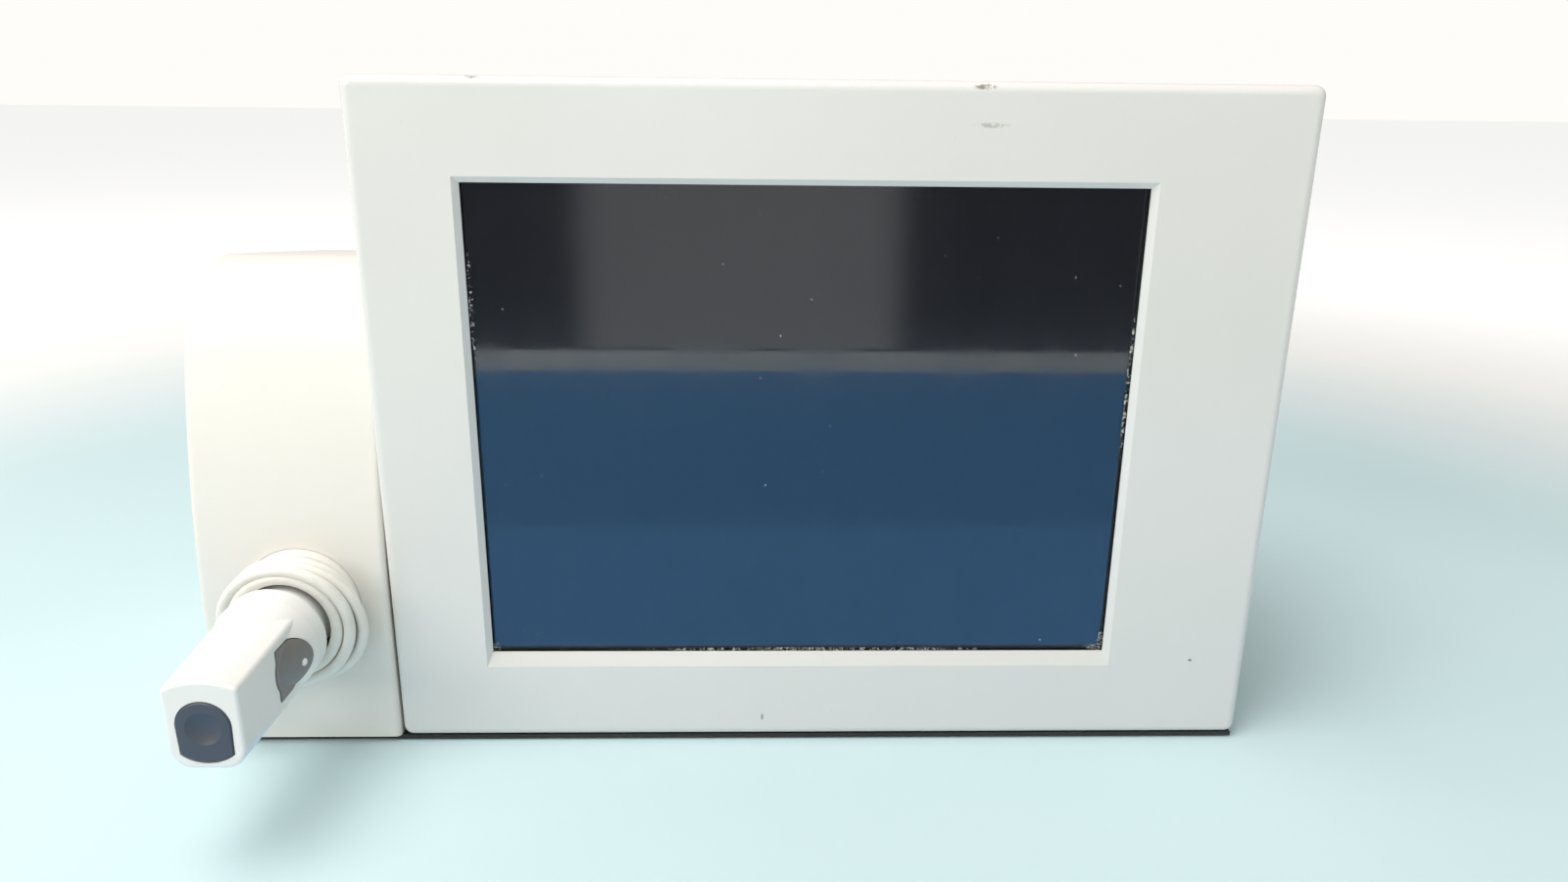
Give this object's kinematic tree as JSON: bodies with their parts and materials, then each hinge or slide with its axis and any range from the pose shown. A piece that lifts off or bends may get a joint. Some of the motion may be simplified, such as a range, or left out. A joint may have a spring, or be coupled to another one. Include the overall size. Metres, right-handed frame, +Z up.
{
  "type": "video magnifier",
  "caption": "Desktop video magnifier with a flat screen head on a curved case and a corded hand camera standing in a round holder.",
  "frame": {"origin": "centre of the unit's width and depth, hand camera included and its cord left out, on the surface that the feet stand on", "axes": "+Z up, +X to the viewer's right along the screen's width, +Y from the screen face to the rear"},
  "size_m": [0.418, 0.2522, 0.2604],
  "materials": {
    "case": "moulded, satin gloss",
    "hand_white": "moulded, satin gloss",
    "screw": "zinc plated",
    "black_plate": "matt powder coat",
    "foot_rubber": "matt",
    "steel": "zinc plated sheet",
    "gasket": "closed foam",
    "screen": "anti-glare coated",
    "lcd": "dark display face",
    "board": "solder mask",
    "post": "natural nylon",
    "sink": "black anodised",
    "black_plastic": "moulded",
    "pin_metal": "nickel plated",
    "rocker": "moulded",
    "socket_metal": "tin plated",
    "liner": "soft sleeve",
    "cord_white": "smooth flexible sheath",
    "button_grey": "satin moulded",
    "clear_window": "clear",
    "barrel": "black anodised",
    "lens": "coated"
  },
  "bodies": {
    "base_unit": {"body_shell": "case", "rear_cover": "case", "cover_screws": "screw", "base_plate": "black_plate", "rubber_feet": "foot_rubber", "base_rails": "steel", "base_screws": "screw", "front_bezel": "case", "head_back": "case", "screen_gasket": "gasket", "touch_glass": "screen", "lcd_module": "lcd", "lcd_tray": "steel", "tray_screws": "screw", "inverter_board": "board", "head_bracket": "steel", "bracket_screws": "screw", "main_board": "board", "board_posts": "post", "board_screws": "screw", "heat_sink": "sink", "power_supply": "steel", "supply_feet": "post", "mains_inlet": "black_plastic", "inlet_pins": "pin_metal", "switch_housing": "black_plastic", "video_socket": "socket_metal", "network_socket": "socket_metal", "holder_cup": "hand_white", "holder_liner": "liner", "cord_gland": "cord_white"},
    "hand_camera": {"grip_shell": "hand_white", "grip_board": "board", "side_switch": "black_plastic", "end_board": "board", "end_switch": "black_plastic", "neck_collar": "hand_white", "camera_head": "hand_white", "lens_window": "clear_window", "lens_barrel": "barrel", "lens_glass": "lens", "led_ring": "board", "camera_board": "board", "cord_boot": "cord_white", "cord_coil": "cord_white", "cord_lead_in": "cord_white", "cord_lead_out": "cord_white"},
    "end_button": {"end_button": "button_grey"},
    "side_button": {"side_button": "button_grey"},
    "power_rocker": {"power_rocker": "rocker"}
  },
  "joints": [
    {"name": "camera_lift_out", "type": "slide", "parent": "base_unit", "child": "hand_camera", "axis": [0, -1, 0], "range_m": [0, 0.07]},
    {"name": "end_button_press", "type": "slide", "parent": "hand_camera", "child": "end_button", "axis": [0, 1, 0], "range_m": [0, 0.001], "stiffness_N_per_m": 900, "springref_m": -0.0006},
    {"name": "side_button_press", "type": "slide", "parent": "hand_camera", "child": "side_button", "axis": [-1, 0, 0], "range_m": [0, 0.001], "stiffness_N_per_m": 900, "springref_m": -0.0006},
    {"name": "power_rocker_tilt", "type": "hinge", "parent": "base_unit", "child": "power_rocker", "pos_m": [-0.112, 0.1221, 0.032], "axis": [1, 0, 0], "range_deg": [0, 18]}
  ]
}
